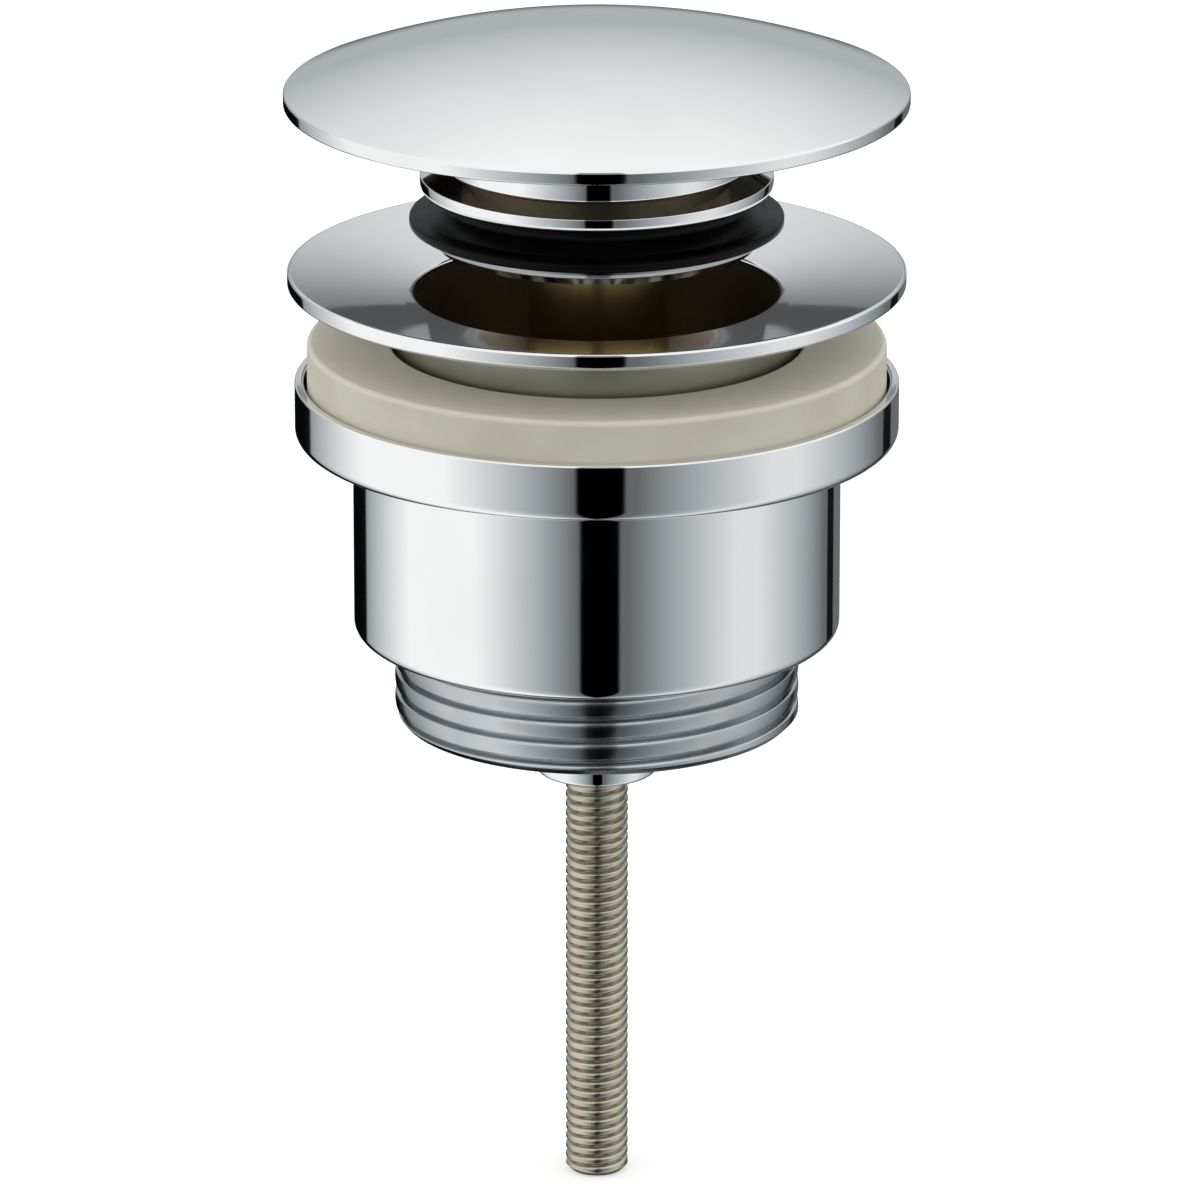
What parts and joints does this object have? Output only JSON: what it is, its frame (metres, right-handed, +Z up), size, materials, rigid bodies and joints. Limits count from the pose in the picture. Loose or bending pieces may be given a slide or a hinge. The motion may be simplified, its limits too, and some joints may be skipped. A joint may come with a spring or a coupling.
{
  "type": "pop up basin waste",
  "caption": "Basin waste with a domed push-open plug on a click cartridge, a dished flange, and a lower body that screws up a stud to clamp the basin onto its seal ring.",
  "frame": {"origin": "centre of the plane under the flange's rim, where the flange seats on the basin", "axes": "+Z up along the drain's axis, X and Y across it; the part is round, so X and Y are interchangeable"},
  "size_m": [0.064, 0.064, 0.1237],
  "materials": {
    "chrome": "bright chrome plate on brass, bare brass inside the bores and under the cap",
    "bare_brass": "turned, unplated",
    "plain_steel": "dull nickel-grey thread-rolled steel",
    "black_rubber": "smooth moulded, satin",
    "cream_rubber": "soft matt moulding",
    "white_nylon": "natural moulded"
  },
  "bodies": {
    "waste_flange": {"flange": "chrome", "flange_gasket": "cream_rubber", "stud": "plain_steel", "stud_lock_nut": "bare_brass", "cartridge_body": "bare_brass", "cartridge_gland": "bare_brass", "guide_bush": "white_nylon", "shaft_o_ring": "black_rubber", "spacer_sleeve": "bare_brass", "return_spring": "plain_steel", "cartridge_washer": "white_nylon"},
    "plug": {"cap": "chrome", "plug_body": "chrome", "plug_seal": "black_rubber", "seal_retainer": "chrome", "plunger": "plain_steel"},
    "latch": {"latch_ring": "plain_steel", "latch_ball": "plain_steel"},
    "clamp_seal": {"seal_ring": "cream_rubber", "slip_washer": "white_nylon"},
    "screw_body": {"lower_body": "chrome"}
  },
  "joints": [
    {"name": "plug_press", "type": "slide", "parent": "waste_flange", "child": "plug", "axis": [0, 0, 1], "range_m": [-0.0068, 0], "stiffness_N_per_m": 700, "springref_m": 0.012, "deforming": ["return_spring"]},
    {"name": "latch_turn", "type": "hinge", "parent": "waste_flange", "child": "latch", "pos_m": [0, 0, -0.00851], "axis": [0, 0, 1], "range_deg": [0, 36]},
    {"name": "ring_lift", "type": "slide", "parent": "waste_flange", "child": "clamp_seal", "axis": [0, 0, 1], "range_m": [-0.012, 0.0025]},
    {"name": "body_spin", "type": "hinge", "parent": "clamp_seal", "child": "screw_body", "pos_m": [0, 0, -0.03], "axis": [0, 0, 1], "range_deg": [-4080, 850]}
  ],
  "couplings": [
    {"joint": "latch_turn", "follows": "plug_press", "rad_per_m": -91.657},
    {"joint": "ring_lift", "follows": "body_spin", "m_per_rad": 0.00016839}
  ]
}
